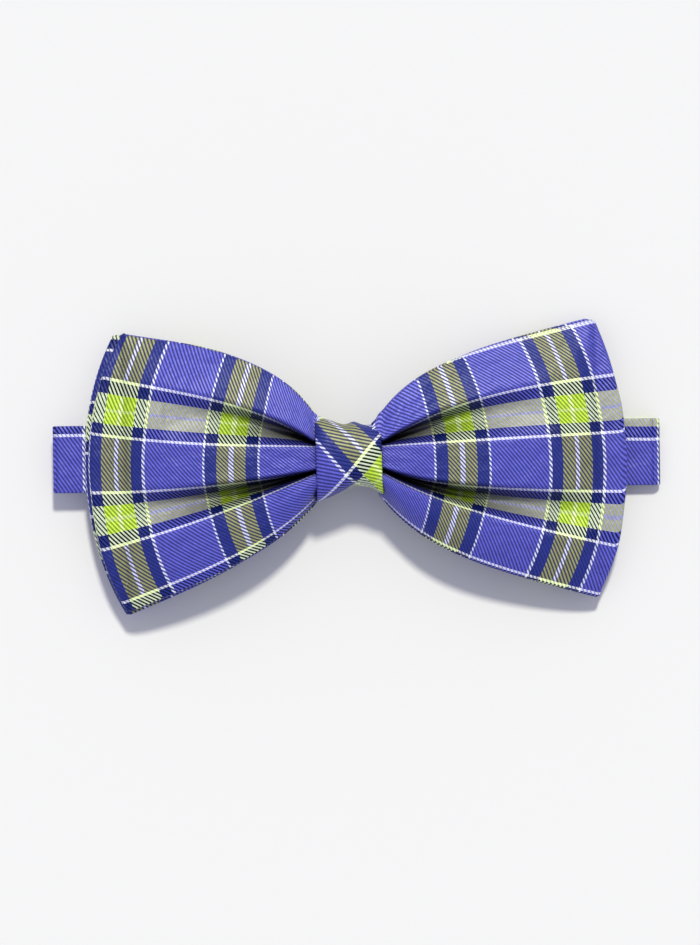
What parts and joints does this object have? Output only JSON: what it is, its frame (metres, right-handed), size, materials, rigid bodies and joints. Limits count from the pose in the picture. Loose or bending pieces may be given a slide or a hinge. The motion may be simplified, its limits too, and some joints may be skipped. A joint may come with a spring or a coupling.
{
  "type": "bow tie",
  "caption": "Ready-tied bow tie: a pleated bow of plaid twill held by a knot, on a folding neckband that closes with a hook and an eye and is set to size by a slide.",
  "frame": {"origin": "centre of the bow tie's outline on the surface it lies on", "axes": "+X along the neckband, to the right as seen from the front; +Y up across the bow as it is worn; +Z out of the bow's front"},
  "size_m": [0.136, 0.0658, 0.0166],
  "materials": {
    "plaid_twill": "matt yarn-dyed cotton twill, lavender blue with navy, lime and white lines",
    "interlining": "brushed cotton interlining",
    "thread": "polyester sewing thread",
    "nickel": "nickel-plated steel, satin"
  },
  "bodies": {
    "bow": {"front_bow_cover": "plaid_twill", "front_bow_interlining": "interlining", "rear_bow_cover": "plaid_twill", "rear_bow_interlining": "interlining", "waist_thread": "thread", "knot_cover": "plaid_twill", "knot_interlining": "interlining", "knot_back_stitches": "thread", "band_centre_cover": "plaid_twill", "band_centre_interlining": "interlining", "left_fold_1": "plaid_twill", "right_fold": "plaid_twill"},
    "left_run_1": {"left_run_1_cover": "plaid_twill", "left_run_1_interlining": "interlining", "left_fold_2": "plaid_twill"},
    "left_run_2": {"left_run_2_cover": "plaid_twill", "left_run_2_interlining": "interlining", "left_fold_3": "plaid_twill"},
    "left_run_3": {"left_run_3_cover": "plaid_twill", "left_run_3_interlining": "interlining", "left_fold_4": "plaid_twill"},
    "left_run_4": {"left_run_4_end": "plaid_twill"},
    "hook_end": {"slide_ply": "plaid_twill", "hook_end_loop": "plaid_twill", "tail_ply": "plaid_twill"},
    "hook": {"hook": "nickel"},
    "slide": {"slide": "nickel", "slide_loop": "plaid_twill", "slide_stitches": "thread"},
    "right_return": {"right_return_cover": "plaid_twill", "right_return_interlining": "interlining", "eye_loop": "plaid_twill", "eye_stitches": "thread"},
    "eye": {"eye": "nickel"}
  },
  "joints": [
    {"name": "unfold_left", "type": "hinge", "parent": "bow", "child": "left_run_1", "pos_m": [-0.06735, 0.0024, 0.0054], "axis": [0, 1, 0], "range_deg": [0, 180], "deforming": ["left_fold_1"]},
    {"name": "unfold_left_2", "type": "hinge", "parent": "left_run_1", "child": "left_run_2", "pos_m": [-0.017, 0.0024, 0.0047], "axis": [0, 1, 0], "range_deg": [-180, 0], "deforming": ["left_fold_2"]},
    {"name": "unfold_left_3", "type": "hinge", "parent": "left_run_2", "child": "left_run_3", "pos_m": [-0.062, 0.0024, 0.004], "axis": [0, 1, 0], "range_deg": [0, 180], "deforming": ["left_fold_3"]},
    {"name": "unfold_left_4", "type": "hinge", "parent": "left_run_3", "child": "left_run_4", "pos_m": [-0.013, 0.0024, 0.00305], "axis": [0, 1, 0], "range_deg": [-180, 0], "deforming": ["left_fold_4"]},
    {"name": "lengthen", "type": "slide", "parent": "left_run_4", "child": "hook_end", "axis": [-1, 0, 0], "range_m": [0, 0.012], "deforming": ["slide_ply"]},
    {"name": "slide_travel", "type": "slide", "parent": "hook_end", "child": "slide", "axis": [-1, 0, 0], "range_m": [0, 0.012], "deforming": ["tail_ply"]},
    {"name": "hook_swing", "type": "hinge", "parent": "hook_end", "child": "hook", "pos_m": [-0.052, 0.0024, 0.00137], "axis": [0, -1, 0], "range_deg": [0, 90]},
    {"name": "unfold_right", "type": "hinge", "parent": "bow", "child": "right_return", "pos_m": [0.06635, 0.0024, 0.00165], "axis": [0, -1, 0], "range_deg": [0, 180], "deforming": ["right_fold"]},
    {"name": "eye_swing", "type": "hinge", "parent": "right_return", "child": "eye", "pos_m": [0.024, 0.0024, 0.00118], "axis": [0, -1, 0], "range_deg": [0, 90]}
  ],
  "couplings": [
    {"joint": "unfold_left_2", "follows": "unfold_left", "ratio": -1},
    {"joint": "unfold_left_3", "follows": "unfold_left", "ratio": 1},
    {"joint": "unfold_left_4", "follows": "unfold_left", "ratio": -1},
    {"joint": "slide_travel", "follows": "lengthen", "ratio": 1}
  ]
}
